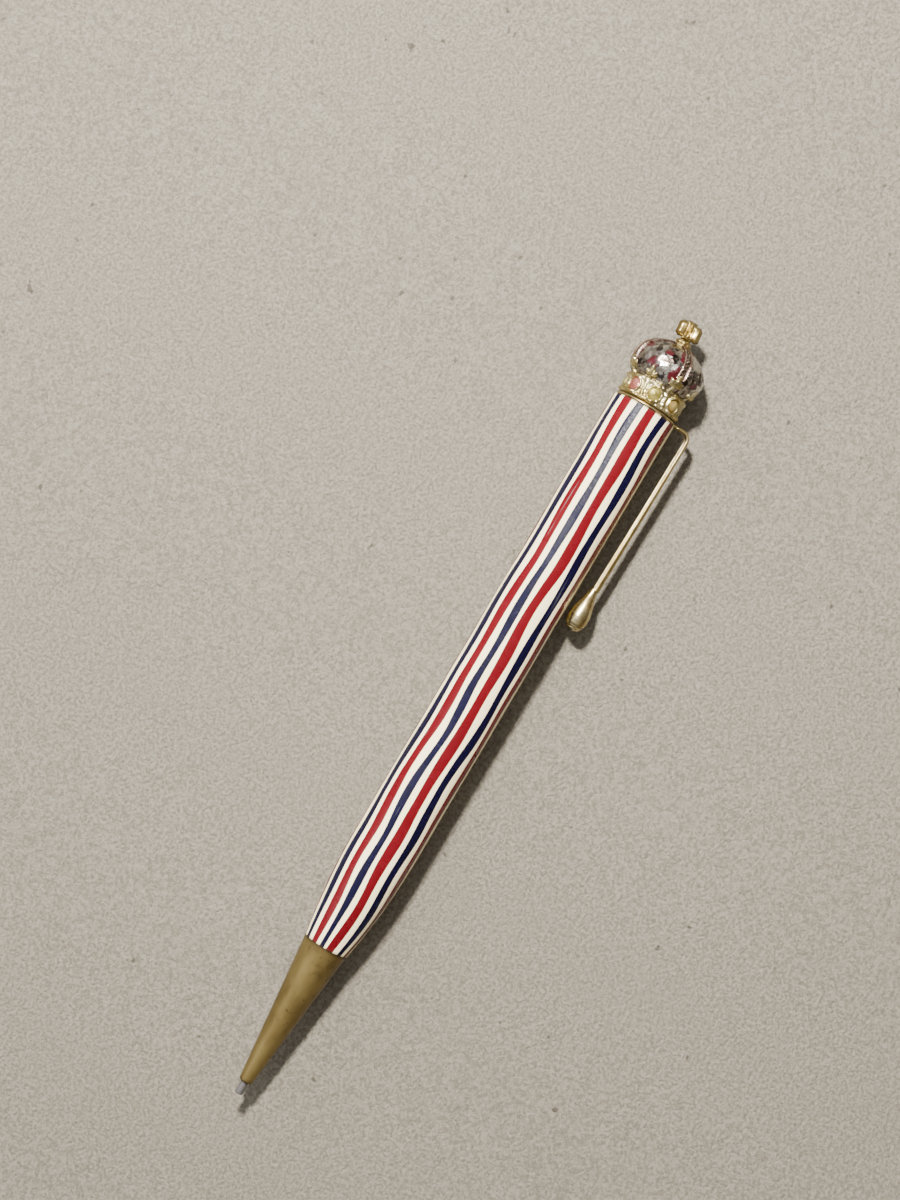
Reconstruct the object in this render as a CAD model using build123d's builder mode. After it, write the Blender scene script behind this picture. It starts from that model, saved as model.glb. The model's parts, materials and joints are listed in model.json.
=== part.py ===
"""A twist-action propelling pencil with a striped barrel, a pocket clip and a crown finial, in millimetres.

The pencil's axis is X: the lead points to -X and the crown to +X. The origin is the middle of the
barrel's cylindrical stretch. The pencil lies on its side with +Z up, and its clip is on the -Y side.

Turning the nose turns the slotted guide tube. The carrier's pin runs in that slot and between the turns of
the fixed feed spiral, so the carrier, its push rod, the chuck and the lead advance one pitch a turn.
"""

import os
from math import cos, radians, sin, sqrt

from build123d import *

# Driving dimensions of what shows
BARREL_R = 5.0
BARREL_STRAIGHT = 73.0
BARREL_TAPER = 17.1
FRONT_R = 3.45
NOSE_LENGTH = 22.9
TIP_R = 1.02
LEAD_R = 0.59
LEAD_OUT = 2.0
CLIP_SHEET = 0.55
CROWN_TOP = 51.0

# Feed: the spiral's pitch, and the turns that the nose makes forward and back from rest
PITCH = 2.4
TURNS_FORWARD = 8
TURNS_BACK = 4
RIBBON = 1.2
PIN_R = 0.5

# Clearances: between fixed pieces, between pieces that turn or slide, and between end faces
SNUG = 0.01
RUNNING = 0.05
END_GAP = 0.05

# Stations along X
REAR_X = BARREL_STRAIGHT / 2
SHOULDER_X = -REAR_X
FRONT_X = SHOULDER_X - BARREL_TAPER
TIP_X = FRONT_X - NOSE_LENGTH
POINT_X = TIP_X - LEAD_OUT
RING_X = REAR_X + CLIP_SHEET

# Radii of the nested pieces, from the bore inwards
MECHANISM_R = 2.5
MAGAZINE_R = 2.2
FERRULE_R = 3.0
JACKET_IN_R = 2.2
GUIDE_R = 1.65
GUIDE_IN_R = 1.25
LEAD_TUBE_R = 1.05
LEAD_TUBE_IN_R = 0.83
SLEEVE_R = 0.85
CHUCK_R = 0.78
ROD_R = 0.5

# Stations of the feed, from the front bush back
BUSH_BACK_X = FRONT_X + 3.0
COLLAR_X = BUSH_BACK_X + 2 * END_GAP
COLLAR_LENGTH = 0.9
SPIRAL_X = COLLAR_X + COLLAR_LENGTH + 2 * END_GAP + RIBBON / 2
SPIRAL_LENGTH = (TURNS_FORWARD + TURNS_BACK + 1) * PITCH
PIN_X = SPIRAL_X + PITCH / 2 + TURNS_FORWARD * PITCH
PIN_FRONT_X = PIN_X - TURNS_FORWARD * PITCH
PIN_BACK_X = PIN_X + TURNS_BACK * PITCH
CARRIER_LENGTH = 6.0
BEARING_X = SPIRAL_X + SPIRAL_LENGTH + 1.2
GUIDE_BACK_X = PIN_BACK_X + CARRIER_LENGTH / 2 + 2.9
JACKET_BACK_X = GUIDE_BACK_X + 1.0
STEP_X = JACKET_BACK_X + 1.0

# Stations inside the nose, from the tip back
LIP = 0.55
SLEEVE_BACK_X = TIP_X + 2.5
NOSE_BUSH_LENGTH = 4.0
NOSE_BACK_X = FRONT_X - 2 * END_GAP
NOSE_BUSH_X = NOSE_BACK_X - NOSE_BUSH_LENGTH
GUIDE_X = NOSE_BUSH_X + 1.5
CHUCK_X = SLEEVE_BACK_X + 0.3 + TURNS_FORWARD * PITCH
CHUCK_LENGTH = 6.0
LEAD_GRIP = 3.0

# Clip, in its own plane: distance along X against distance from the pencil's axis
CLIP_ANGLE = 99.0
CLIP_WIDTH = 1.8
CLIP_PIVOT_RHO = 5.6
CLIP_BEND_R = 1.6
ARM_RHO = 8.15
ARM_END_RHO = 6.95
ARM_END_X = 10.7
BALL_RHO = 7.27
BALL_R = 1.6

# Crown
CROWN_X = RING_X + 0.1
BAND_R = 4.5
RIM_R = 4.75
SKIRT_R = 3.9
BAND_TOP_X = 40.3
DOME_X = 43.05
DOME_A = 4.0
DOME_B = 5.6
ARCH_RISE = 0.2
ARCH_WIDTH = 2.2
ARCH_ANGLE = 22.0
JEWEL_ANGLE = -0.5
JEWEL_X = 38.7
ORB_X = 47.65
ORB_R = 1.0
ORB_HALF = 0.34
CROSS_X = 48.01
CROSS_SPAN = 3.7
ORB_PIN_R = 0.3


def outward(angle):
    """Unit vector away from the axis, at an angle from +Z turning towards -Y."""
    return Vector(0, -sin(radians(angle)), cos(radians(angle)))


def side_plane(angle):
    """The plane through the axis whose local x is X and whose local y points outward at the angle."""
    return Plane(
        origin=(0, 0, 0), x_dir=(1, 0, 0), z_dir=Vector(1, 0, 0).cross(outward(angle))
    )


def face_plane(angle, x, rho):
    """A plane that faces outward at the angle, with its origin at x and rho and its local x along X."""
    return Plane(
        origin=Vector(x, 0, 0) + outward(angle) * rho,
        x_dir=(1, 0, 0),
        z_dir=outward(angle),
    )


def ring(x0, x1, r_out, r_in=0.0):
    """Adds a tube or disc on the axis, from x0 to x1."""
    with BuildSketch(Plane.YZ.offset(x0)) as section:
        Circle(r_out)
        if r_in:
            Circle(r_in, mode=Mode.SUBTRACT)
    extrude(section.sketch, amount=x1 - x0)


def turned(*points):
    """Adds what a lathe makes of a closed outline of (x, radius) points."""
    with BuildSketch(Plane.XY) as outline:
        with BuildLine():
            Polyline(*points, close=True)
        make_face()
    revolve(outline.sketch, axis=Axis.X)


def cone_r(x):
    """The nose cone's outer radius at x."""
    return TIP_R + (FRONT_R - TIP_R) * (x - TIP_X) / NOSE_LENGTH


def dome_r(x, grow=0.0):
    """The cap's outer radius at x, with its surface moved out by grow."""
    return (DOME_B + grow) * sqrt(max(0.0, 1 - ((x - DOME_X) / (DOME_A + grow)) ** 2))


def save(piece, name):
    """Labels a finished piece and writes its STEP file."""
    piece.part.label = name
    export_step(piece.part, f"parts/{name}.step")


os.makedirs("parts", exist_ok=True)

# ---------------------------------------------------------------- barrel and its fixed pieces

with BuildPart() as barrel:
    with BuildSketch(Plane.XY):
        with BuildLine():
            Line((REAR_X, BARREL_R), (SHOULDER_X, BARREL_R))
            TangentArc((SHOULDER_X, BARREL_R), (FRONT_X, FRONT_R), tangent=(-1, 0))
            Polyline(
                (FRONT_X, FRONT_R),
                (FRONT_X, MECHANISM_R),
                (STEP_X, MECHANISM_R),
                (STEP_X, MAGAZINE_R),
                (REAR_X - 8.6, MAGAZINE_R),
                (REAR_X - 8.6, FERRULE_R),
                (REAR_X, FERRULE_R),
                (REAR_X, BARREL_R),
            )
        make_face()
    revolve(axis=Axis.X)
save(barrel, "barrel")

with BuildPart() as front_bush:
    ring(FRONT_X, BUSH_BACK_X, MECHANISM_R - SNUG, GUIDE_R + RUNNING)
    chamfer(front_bush.edges().filter_by(GeomType.CIRCLE).sort_by(Axis.X)[-1], 0.15)
save(front_bush, "front_bush")

with BuildPart() as jacket_tube:
    ring(BUSH_BACK_X, JACKET_BACK_X, MECHANISM_R - SNUG, JACKET_IN_R)
save(jacket_tube, "jacket_tube")

with BuildPart() as feed_spiral:
    SPIRAL_R = (JACKET_IN_R - 2 * SNUG + GUIDE_R + 2 * RUNNING) / 2
    SPIRAL_SHEET = JACKET_IN_R - 2 * SNUG - GUIDE_R - 2 * RUNNING
    with BuildLine() as spiral_path:
        Helix(
            pitch=PITCH,
            height=SPIRAL_LENGTH,
            radius=SPIRAL_R,
            center=(SPIRAL_X, 0, 0),
            direction=(1, 0, 0),
        )
    start = spiral_path.line @ 0
    with BuildSketch(
        Plane(
            origin=start,
            x_dir=(start - Vector(SPIRAL_X, 0, 0)).normalized(),
            z_dir=spiral_path.line % 0,
        )
    ):
        Rectangle(SPIRAL_SHEET, RIBBON)
    sweep(path=spiral_path.line, is_frenet=True)
save(feed_spiral, "feed_spiral")

with BuildPart() as rear_bearing:
    ring(BEARING_X, BEARING_X + 2.0, JACKET_IN_R - SNUG, GUIDE_R + RUNNING)
save(rear_bearing, "rear_bearing")

with BuildPart() as end_disc:
    ring(JACKET_BACK_X, STEP_X, MECHANISM_R - SNUG)
save(end_disc, "end_disc")

with BuildPart() as spare_leads:
    SPARE_LENGTH = 33.0
    for angle in (134, 180, 226):
        middle = outward(angle) * (MAGAZINE_R - LEAD_R - 2 * SNUG)
        with BuildSketch(Plane.YZ.offset(STEP_X + 0.2)):
            with Locations((middle.Y, middle.Z)):
                Circle(LEAD_R)
        extrude(amount=SPARE_LENGTH)
save(spare_leads, "spare_leads")

FLANGE_R = SKIRT_R - 0.1
FERRULE_IN_R = 2.4
with BuildPart() as tail_ferrule:
    turned(
        (REAR_X - 8.5, FERRULE_IN_R),
        (RING_X + 0.35, FERRULE_IN_R),
        (RING_X + 0.35, FLANGE_R),
        (RING_X, FLANGE_R),
        (RING_X, FERRULE_R - SNUG),
        (REAR_X - 8.5, FERRULE_R - SNUG),
    )
save(tail_ferrule, "tail_ferrule")

# ---------------------------------------------------------------- clip

CLIP_PLANE = side_plane(CLIP_ANGLE)
HINGE_GAP = 0.03

with BuildPart() as clip_ring:
    ring(REAR_X, RING_X, RIM_R, FERRULE_R + 0.05)
    with BuildSketch(CLIP_PLANE):
        with BuildLine():
            Polyline(
                (REAR_X, RIM_R - 0.6),
                (RING_X, RIM_R - 0.6),
                (RING_X, CLIP_PIVOT_RHO - HINGE_GAP),
                (REAR_X, CLIP_PIVOT_RHO - HINGE_GAP),
                close=True,
            )
        make_face()
    extrude(amount=CLIP_WIDTH / 2, both=True)
save(clip_ring, "clip_ring")

with BuildPart() as clip_arm:
    BEND_X = RING_X - CLIP_BEND_R
    BEND_RHO = ARM_RHO - CLIP_BEND_R
    IN_R = CLIP_BEND_R - CLIP_SHEET
    with BuildSketch(CLIP_PLANE):
        with BuildLine():
            Polyline(
                (REAR_X, BEND_RHO),
                (REAR_X, CLIP_PIVOT_RHO + HINGE_GAP),
                (RING_X, CLIP_PIVOT_RHO + HINGE_GAP),
                (RING_X, BEND_RHO),
            )
            TangentArc((RING_X, BEND_RHO), (BEND_X, ARM_RHO), tangent=(0, 1))
            Polyline(
                (BEND_X, ARM_RHO),
                (ARM_END_X, ARM_RHO),
                (ARM_END_X, ARM_END_RHO),
                (BEND_X, BEND_RHO + IN_R),
            )
            TangentArc((REAR_X, BEND_RHO), (BEND_X, BEND_RHO + IN_R), tangent=(0, 1))
        make_face()
    extrude(amount=CLIP_WIDTH / 2, both=True)
    # The arm is a channel, open towards the barrel, that gets deeper towards the ball
    WEB_RHO = ARM_RHO - 0.45
    with BuildSketch(CLIP_PLANE):
        with BuildLine():
            Polyline(
                (BEND_X, WEB_RHO),
                (ARM_END_X - 1, WEB_RHO),
                (ARM_END_X - 1, ARM_END_RHO - 1),
                (BEND_X, ARM_END_RHO - 1),
                close=True,
            )
        make_face()
    extrude(amount=CLIP_WIDTH / 2 - 0.4, both=True, mode=Mode.SUBTRACT)
    outer_edges = clip_arm.edges().filter_by(
        lambda e: e.center().dot(outward(CLIP_ANGLE)) > ARM_RHO - 0.01 and e.length > 5
    )
    fillet(outer_edges, 0.35)
save(clip_arm, "clip_arm")

with BuildPart() as clip_ball:
    BALL_END_X = ARM_END_X - 7.0
    BALL_WIDE_X = BALL_END_X + 2.3
    NECK_R = 0.72
    with BuildSketch(CLIP_PLANE):
        with BuildLine():
            Spline(
                (BALL_END_X, BALL_RHO),
                (BALL_WIDE_X, BALL_RHO + BALL_R),
                (ARM_END_X - SNUG, BALL_RHO + NECK_R),
                tangents=[(0, 1), (1, -0.28)],
            )
            Polyline(
                (ARM_END_X - SNUG, BALL_RHO + NECK_R),
                (ARM_END_X - SNUG, BALL_RHO),
                (BALL_END_X, BALL_RHO),
            )
        make_face()
    revolve(axis=Axis(outward(CLIP_ANGLE) * BALL_RHO, (1, 0, 0)))
save(clip_ball, "clip_ball")

# ---------------------------------------------------------------- nose, which turns

with BuildPart() as nose_cone:
    SHELL = 0.42
    SEAT_END_X = SLEEVE_BACK_X + 3.0
    turned(
        (TIP_X, LEAD_R + 0.03),
        (TIP_X, TIP_R - 0.12),
        (TIP_X + 0.2, cone_r(TIP_X + 0.2)),
        (NOSE_BACK_X, cone_r(NOSE_BACK_X)),
        (NOSE_BACK_X, MECHANISM_R + 0.1),
        (NOSE_BUSH_X, MECHANISM_R + 0.1),
        (NOSE_BUSH_X, cone_r(NOSE_BUSH_X) - SHELL),
        (SEAT_END_X, cone_r(SEAT_END_X) - SHELL),
        (SEAT_END_X, LEAD_TUBE_R + SNUG),
        (SLEEVE_BACK_X, LEAD_TUBE_R + SNUG),
        (SLEEVE_BACK_X, SLEEVE_R + SNUG),
        (TIP_X + LIP, SLEEVE_R + SNUG),
        (TIP_X + LIP, LEAD_R + 0.03),
    )
save(nose_cone, "nose_cone")

with BuildPart() as tip_sleeve:
    SLIT_X = TIP_X + LIP + 0.6
    ring(TIP_X + LIP + SNUG, SLEEVE_BACK_X - SNUG, SLEEVE_R, LEAD_R + 0.02)
    for angle in (0, 120, 240):
        with BuildSketch(Plane.YZ.offset(SLIT_X)):
            middle = outward(angle) * (SLEEVE_R / 2 + 0.3)
            with Locations(Location((middle.Y, middle.Z), angle)):
                Rectangle(0.16, SLEEVE_R)
        extrude(amount=SLEEVE_BACK_X - SLIT_X, mode=Mode.SUBTRACT)
save(tip_sleeve, "tip_sleeve")

with BuildPart() as lead_tube:
    ring(SLEEVE_BACK_X + SNUG, GUIDE_X - SNUG, LEAD_TUBE_R, LEAD_TUBE_IN_R)
save(lead_tube, "lead_tube")

with BuildPart() as nose_bush:
    turned(
        (NOSE_BUSH_X + SNUG, LEAD_TUBE_R + SNUG),
        (GUIDE_X, LEAD_TUBE_R + SNUG),
        (GUIDE_X, GUIDE_R + SNUG),
        (FRONT_X - END_GAP, GUIDE_R + SNUG),
        (FRONT_X - END_GAP, MECHANISM_R + 0.1 - SNUG),
        (NOSE_BUSH_X + SNUG, MECHANISM_R + 0.1 - SNUG),
    )
save(nose_bush, "nose_bush")

with BuildPart() as guide_tube:
    SLOT_END = PIN_R + END_GAP
    SLOT_LENGTH = PIN_BACK_X - PIN_FRONT_X + 2 * SLOT_END
    ring(GUIDE_X + SNUG, GUIDE_BACK_X, GUIDE_R, GUIDE_IN_R)
    with BuildSketch(Plane.XY):
        with Locations(((PIN_FRONT_X + PIN_BACK_X) / 2, 0)):
            SlotOverall(SLOT_LENGTH, 2 * SLOT_END)
    extrude(amount=GUIDE_R + 1, mode=Mode.SUBTRACT)
save(guide_tube, "guide_tube")

with BuildPart() as retaining_collar:
    ring(COLLAR_X, COLLAR_X + COLLAR_LENGTH, JACKET_IN_R - 0.06, GUIDE_R + SNUG)
save(retaining_collar, "retaining_collar")

with BuildPart() as guide_plug:
    PLUG_X = GUIDE_BACK_X - 2.7
    turned(
        (PLUG_X, 0),
        (PLUG_X, GUIDE_IN_R - SNUG),
        (GUIDE_BACK_X + SNUG, GUIDE_IN_R - SNUG),
        (GUIDE_BACK_X + SNUG, GUIDE_R),
        (GUIDE_BACK_X + 0.6, GUIDE_R),
        (GUIDE_BACK_X + 0.6, 0),
    )
save(guide_plug, "guide_plug")

# ---------------------------------------------------------------- feed, which turns with the nose and slides

LEAD_BACK_X = CHUCK_X + LEAD_GRIP
CARRIER_X = PIN_X - CARRIER_LENGTH / 2
ROD_BACK_X = PIN_X - PIN_R - 0.3

with BuildPart() as lead:
    ring(POINT_X, LEAD_BACK_X, LEAD_R)
    fillet(lead.edges().sort_by(Axis.X)[0], 0.18)
save(lead, "lead")

with BuildPart() as lead_chuck:
    ring(CHUCK_X, CHUCK_X + CHUCK_LENGTH, CHUCK_R, ROD_R + SNUG)
    with BuildSketch(Plane.YZ.offset(CHUCK_X)):
        Circle(LEAD_R + SNUG)
    extrude(amount=LEAD_GRIP + 0.05, mode=Mode.SUBTRACT)
    with BuildSketch(Plane.YZ.offset(CHUCK_X)):
        Rectangle(0.2, 4 * CHUCK_R)
        Rectangle(4 * CHUCK_R, 0.2)
    extrude(amount=LEAD_GRIP - 0.4, mode=Mode.SUBTRACT)
save(lead_chuck, "lead_chuck")

with BuildPart() as push_rod:
    ring(LEAD_BACK_X + 0.1, ROD_BACK_X, ROD_R)
save(push_rod, "push_rod")

with BuildPart() as lead_carrier:
    ring(CARRIER_X, CARRIER_X + CARRIER_LENGTH, GUIDE_IN_R - RUNNING)
    chamfer(lead_carrier.edges().filter_by(GeomType.CIRCLE), 0.2)
    with BuildSketch(Plane.YZ.offset(CARRIER_X)):
        Circle(ROD_R + SNUG)
    extrude(amount=ROD_BACK_X + SNUG - CARRIER_X, mode=Mode.SUBTRACT)
    with BuildSketch(Plane.XY.offset(0.2)):
        with Locations((PIN_X, 0)):
            Circle(PIN_R)
    extrude(amount=GUIDE_IN_R, mode=Mode.SUBTRACT)
save(lead_carrier, "lead_carrier")

with BuildPart() as carrier_pin:
    with BuildSketch(Plane.XY.offset(0.2 + SNUG)):
        with Locations((PIN_X, 0)):
            Circle(PIN_R - SNUG)
    extrude(amount=JACKET_IN_R - 0.1 - 0.2 - SNUG)
save(carrier_pin, "carrier_pin")

# ---------------------------------------------------------------- crown, which pulls off

CAP_X = RING_X + 0.4
STEM_SEAT_X = CROWN_X + 4.2
STEM_ROOT_R = 1.9
DOME_TOP_X = DOME_X + DOME_A

with BuildPart() as crown_cap:
    with BuildSketch(Plane.XY):
        with BuildLine():
            Polyline(
                (DOME_TOP_X, 0),
                (CAP_X, 0),
                (CAP_X, SKIRT_R - SNUG),
                (BAND_TOP_X, SKIRT_R - SNUG),
                (BAND_TOP_X + SNUG, 4.3),
            )
            ThreePointArc((BAND_TOP_X + SNUG, 4.3), (41.27, 5.18), (DOME_X, DOME_B))
            EllipticalCenterArc((DOME_X, 0), DOME_A, DOME_B, arc_size=90)
        make_face()
    revolve(axis=Axis.X)
    with BuildSketch(Plane.YZ.offset(CAP_X)):
        Circle(STEM_ROOT_R)
    extrude(amount=STEM_SEAT_X - CAP_X, mode=Mode.SUBTRACT)
    with BuildSketch(Plane.YZ.offset(DOME_TOP_X + 1)):
        Circle(ORB_PIN_R + SNUG)
    extrude(amount=-3.0, mode=Mode.SUBTRACT)
save(crown_cap, "crown_cap")

with BuildPart() as crown_stem:
    STEM_X = REAR_X - 7.0
    STEM_R = FERRULE_IN_R - 0.03
    SLIT = 0.4
    turned(
        (STEM_X, 1.6),
        (STEM_X, STEM_R - 0.25),
        (STEM_X + 0.5, STEM_R),
        (CAP_X - SNUG, STEM_R),
        (CAP_X - SNUG, STEM_ROOT_R - SNUG),
        (STEM_SEAT_X - SNUG, STEM_ROOT_R - SNUG),
        (STEM_SEAT_X - SNUG, 0),
        (CAP_X - 1.2, 0),
        (CAP_X - 1.2, 1.6),
    )
    with BuildSketch(Plane.YZ.offset(STEM_X)):
        Rectangle(SLIT, 3 * STEM_R)
        Rectangle(3 * STEM_R, SLIT)
    extrude(amount=5.0, mode=Mode.SUBTRACT)
save(crown_stem, "crown_stem")

# The circlet's crosses and fleurs are cut from a thin collar that follows the cap
with BuildPart() as motifs:
    MOTIF_TOP_X = 42.9
    for step in range(4):
        with BuildSketch(
            face_plane(ARCH_ANGLE + 90 * step, BAND_TOP_X, 0)
        ):  # cross pattee
            with BuildLine():
                Polyline(
                    (-0.3, -0.75),
                    (0.55, -0.3),
                    (0.6, -1.15),
                    (1.6, -1.15),
                    (1.65, -0.3),
                    (2.3, -0.7),
                    (2.3, 0.7),
                    (1.65, 0.3),
                    (1.6, 1.15),
                    (0.6, 1.15),
                    (0.55, 0.3),
                    (-0.3, 0.75),
                    close=True,
                )
            make_face()
        extrude(amount=8)
        with BuildSketch(
            face_plane(ARCH_ANGLE + 45 + 90 * step, BAND_TOP_X, 0)
        ):  # fleur
            with BuildLine():
                Polyline(
                    (-0.3, -0.35), (0.6, -0.3), (0.6, 0.3), (-0.3, 0.35), close=True
                )
            make_face()
            with Locations((1.05, 0)):
                Ellipse(0.95, 0.42)
            with Locations((0.75, 0.62), (0.75, -0.62)):
                Circle(0.42)
        extrude(amount=8)

BEZEL_R = 1.25
STONE_R = 0.9
STONE_HEIGHT = 0.62
BEZEL_RHO = 5.05
with BuildPart() as crown_circlet:
    with BuildSketch(Plane.XY):  # the thin collar
        with BuildLine():
            Polyline(
                (BAND_TOP_X - 0.35, SKIRT_R),
                (BAND_TOP_X, SKIRT_R),
                (BAND_TOP_X, 4.33),
            )
            ThreePointArc((BAND_TOP_X, 4.33), (41.25, 5.22), (DOME_X, DOME_B + 0.03))
            Polyline((DOME_X, DOME_B + 0.03), (DOME_X, DOME_B + 0.25))
            ThreePointArc(
                (DOME_X, DOME_B + 0.25), (41.2, 5.51), (BAND_TOP_X - 0.35, 4.72)
            )
            Polyline((BAND_TOP_X - 0.35, 4.72), (BAND_TOP_X - 0.35, SKIRT_R))
        make_face()
    revolve(axis=Axis.X)
    add(motifs.part, mode=Mode.INTERSECT)
    turned(
        (CROWN_X, SKIRT_R),
        (BAND_TOP_X, SKIRT_R),
        (BAND_TOP_X, RIM_R - 0.15),
        (BAND_TOP_X - 0.15, RIM_R),
        (BAND_TOP_X - 0.4, RIM_R),
        (BAND_TOP_X - 0.55, BAND_R),
        (CROWN_X + 0.6, BAND_R),
        (CROWN_X + 0.45, RIM_R),
        (CROWN_X + 0.12, RIM_R),
        (CROWN_X, RIM_R - 0.12),
    )
    for step in range(8):
        with BuildSketch(face_plane(JEWEL_ANGLE + 45 * step, JEWEL_X, BAND_R - 0.35)):
            Circle(BEZEL_R)
        extrude(amount=BEZEL_RHO - BAND_R + 0.35)
    for step in range(8):
        with BuildSketch(face_plane(JEWEL_ANGLE + 45 * step, JEWEL_X, BAND_R)):
            Circle(STONE_R + SNUG)
        extrude(amount=1, mode=Mode.SUBTRACT)
save(crown_circlet, "crown_circlet")


def stones(steps):
    """Adds a low domed stone in each of the numbered bezels."""
    for step in steps:
        seat = face_plane(JEWEL_ANGLE + 45 * step, JEWEL_X, BAND_R + SNUG)
        with BuildSketch(seat) as outline:
            Circle(STONE_R)
        extrude(outline.sketch, amount=STONE_HEIGHT)


def crown_edge(edge):
    """Whether an edge is the outer rim of a stone, and not its seat or its seam."""
    middle = edge.arc_center if edge.geom_type == GeomType.CIRCLE else Vector(0, 0, 0)
    return Vector(0, middle.Y, middle.Z).length > BAND_R + STONE_HEIGHT / 2


with BuildPart() as rose_stones:
    stones((3, 7))
    fillet(rose_stones.edges().filter_by(crown_edge), 0.3)
save(rose_stones, "rose_stones")

with BuildPart() as citrine_stones:
    stones((0, 2, 4, 6))
    fillet(citrine_stones.edges().filter_by(crown_edge), 0.3)
save(citrine_stones, "citrine_stones")

with BuildPart() as amber_stones:
    stones((1, 5))
    fillet(amber_stones.edges().filter_by(crown_edge), 0.3)
save(amber_stones, "amber_stones")

with BuildPart() as arch_planks:
    for step in range(2):
        with BuildSketch(face_plane(ARCH_ANGLE + 90 * step, 42.9, -8)):
            with Locations((3, 0)):
                Rectangle(6, ARCH_WIDTH)
        extrude(amount=16)

with BuildPart() as crown_arches:
    with BuildSketch(Plane.XY):
        with BuildLine():
            EllipticalCenterArc(
                (DOME_X, 0), DOME_A + ARCH_RISE, DOME_B + ARCH_RISE, arc_size=90
            )
            Line((DOME_X, DOME_B + ARCH_RISE), (DOME_X, DOME_B + SNUG))
            EllipticalCenterArc((DOME_X, 0), DOME_A + SNUG, DOME_B + SNUG, arc_size=90)
            Line((DOME_TOP_X + SNUG, 0), (DOME_TOP_X + ARCH_RISE, 0))
        make_face()
    revolve(axis=Axis.X)
    add(arch_planks.part, mode=Mode.INTERSECT)
    with BuildSketch(Plane.YZ.offset(DOME_X)):
        Circle(ORB_PIN_R + SNUG)
    extrude(amount=8, mode=Mode.SUBTRACT)
save(crown_arches, "crown_arches")

with BuildPart() as crown_orb:
    with BuildSketch(Plane.YZ.offset(DOME_TOP_X - 1.9)):
        Circle(ORB_PIN_R)
    extrude(amount=CROSS_X + 0.7 - DOME_TOP_X + 1.9)
    with BuildSketch(Plane.XY):
        with Locations((ORB_X, 0)):
            Ellipse(ORB_HALF, ORB_R)
        with Locations((ORB_X, -ORB_R)):
            Rectangle(4 * ORB_R, 2 * ORB_R, mode=Mode.SUBTRACT)
    revolve(axis=Axis.X)
save(crown_orb, "crown_orb")

with BuildPart() as crown_cross:
    HALF = CROSS_SPAN / 2
    MID_X = (CROSS_X + CROWN_TOP) / 2
    with BuildSketch(face_plane(JEWEL_ANGLE, MID_X, 0)):
        with BuildLine():
            HIGH = (CROWN_TOP - CROSS_X) / 2
            Polyline(
                (-HIGH, -0.85),
                (-0.85, -0.85),
                (-1.05, -1.4),
                (-0.85, -HALF),
                (0.8, -HALF),
                (1.05, -1.45),
                (0.9, -0.9),
                (HIGH, -0.85),
                (HIGH, 0.85),
                (0.9, 0.9),
                (1.05, 1.45),
                (0.8, HALF),
                (-0.85, HALF),
                (-1.05, 1.4),
                (-0.85, 0.85),
                (-HIGH, 0.85),
                close=True,
            )
        make_face()
    extrude(amount=0.75, both=True)
    with BuildSketch(Plane.YZ.offset(CROSS_X)):
        Circle(ORB_PIN_R + SNUG)
    extrude(amount=0.75, mode=Mode.SUBTRACT)
save(crown_cross, "crown_cross")
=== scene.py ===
"""The looks of the striped propelling pencil: materials, detailed clip and crown, floor, light and camera.

Lengths are in millimetres until mesh_object() turns them into metres. An angle "phi" goes round the
pencil's axis from +Z towards -Y, where the clip is.
"""

import json
import math

import bpy
import numpy as np
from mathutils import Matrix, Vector, noise


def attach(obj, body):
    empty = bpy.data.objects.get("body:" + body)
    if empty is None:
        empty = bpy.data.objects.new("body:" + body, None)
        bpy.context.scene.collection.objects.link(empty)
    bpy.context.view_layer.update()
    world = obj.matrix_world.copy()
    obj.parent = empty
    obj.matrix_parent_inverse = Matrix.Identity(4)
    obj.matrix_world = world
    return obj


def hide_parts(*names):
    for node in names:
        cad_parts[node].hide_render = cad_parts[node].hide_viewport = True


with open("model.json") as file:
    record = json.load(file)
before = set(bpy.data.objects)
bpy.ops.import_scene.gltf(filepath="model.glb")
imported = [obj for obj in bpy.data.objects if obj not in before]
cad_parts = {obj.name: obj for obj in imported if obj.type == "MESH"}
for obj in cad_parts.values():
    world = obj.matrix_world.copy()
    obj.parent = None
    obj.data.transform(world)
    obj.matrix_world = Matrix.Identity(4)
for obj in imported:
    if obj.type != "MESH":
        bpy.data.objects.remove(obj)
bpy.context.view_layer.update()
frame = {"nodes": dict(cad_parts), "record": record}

MM = 0.001
REAR = 36.5  # the barrel's back end
RING = 37.05  # the clip ring's back face
CLIP_PHI = math.radians(99)
DOME_X, DOME_A, DOME_B = 43.05, 4.0, 5.6  # the cap's widest place, its height above that, and its radius
BAND_TOP = 40.3
JEWEL_X, JEWEL_PHI = 38.7, -0.5  # the first boss
ARCH_PHI = 22.0  # the first arch, in degrees


# ---------------------------------------------------------------- meshes


def mesh_object(name, points, faces, relief=None):
    """A smooth mesh from points in millimetres. Its attribute "relief" can hold a value for each point."""
    mesh = bpy.data.meshes.new(name)
    mesh.from_pydata((np.asarray(points, float) * MM).tolist(), [], faces)
    mesh.update()
    mesh.shade_smooth()
    if relief is not None:
        layer = mesh.attributes.new("relief", "FLOAT", "POINT")
        layer.data.foreach_set("value", np.asarray(relief, np.float32).ravel())
    obj = bpy.data.objects.new(name, mesh)
    bpy.context.scene.collection.objects.link(obj)
    return obj


def grid_faces(rows, columns, close_rows=False, close_columns=False, start=0):
    """Quads over a rows by columns grid of points."""
    faces = []
    for i in range(rows if close_rows else rows - 1):
        for j in range(columns if close_columns else columns - 1):
            a = start + i * columns + j
            b = start + i * columns + (j + 1) % columns
            c = start + ((i + 1) % rows) * columns + (j + 1) % columns
            d = start + ((i + 1) % rows) * columns + j
            faces.append((a, b, c, d))
    return faces


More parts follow.
